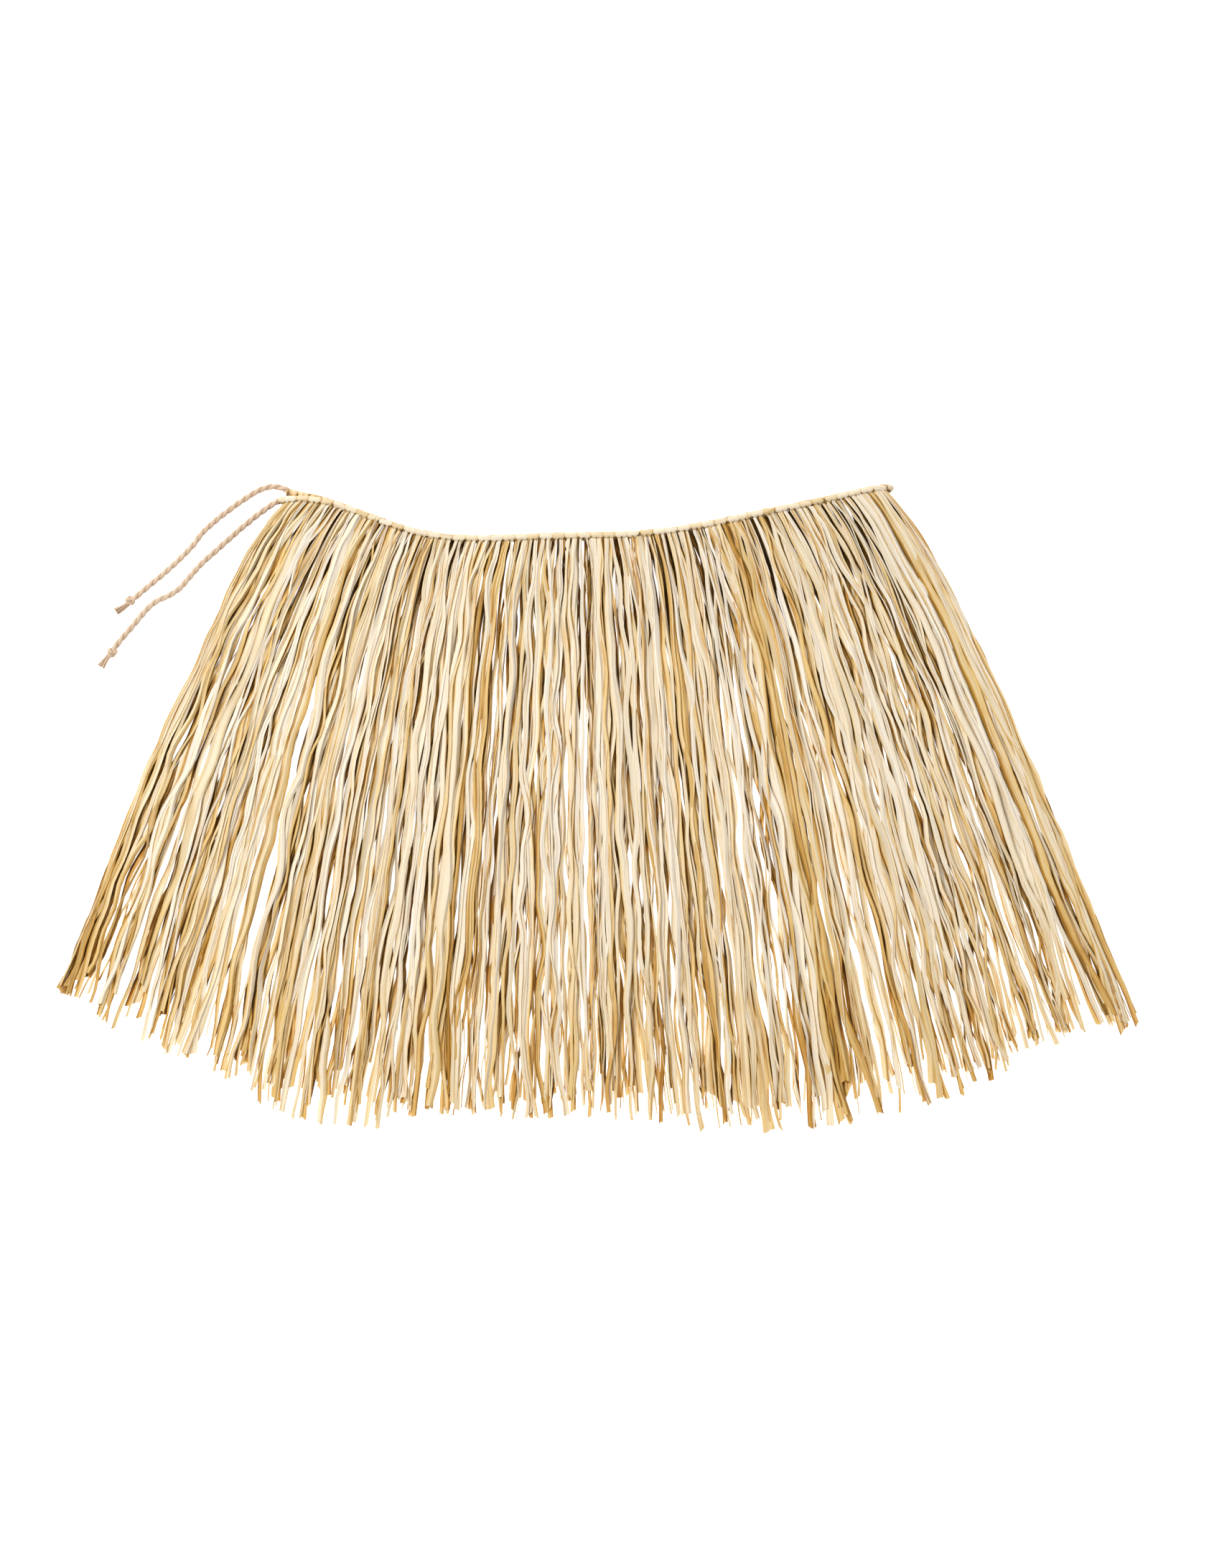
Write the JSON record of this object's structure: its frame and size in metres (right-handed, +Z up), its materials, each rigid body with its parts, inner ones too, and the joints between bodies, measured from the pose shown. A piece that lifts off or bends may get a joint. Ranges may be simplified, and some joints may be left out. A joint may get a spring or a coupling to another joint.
{
  "type": "grass skirt",
  "caption": "Raffia grass skirt folded in half and laid flat: strips hitched over a waist cord hang as a fanned fringe, and the cord's two knotted ends are its ties.",
  "frame": {"origin": "on the surface that the skirt lies on, under the middle of the laid skirt without its ties", "axes": "+X towards the fold, +Y towards the waist, +Z up off the surface"},
  "size_m": [0.754, 0.449, 0.012],
  "materials": {
    "raffia_strips": "dried raffia leaf strips, low sheen along the fibre",
    "raffia_hitches": "dried raffia leaf, drawn tight round the cord",
    "cord": "matt twisted plant-fibre cord"
  },
  "bodies": {
    "root": {"waist_cord": "cord", "tie_front": "cord", "tie_back": "cord", "knot_front": "cord", "knot_back": "cord", "hitches_front": "raffia_hitches", "hitches_back": "raffia_hitches", "fringe_front": "raffia_strips", "fringe_back": "raffia_strips"}
  },
  "joints": []
}
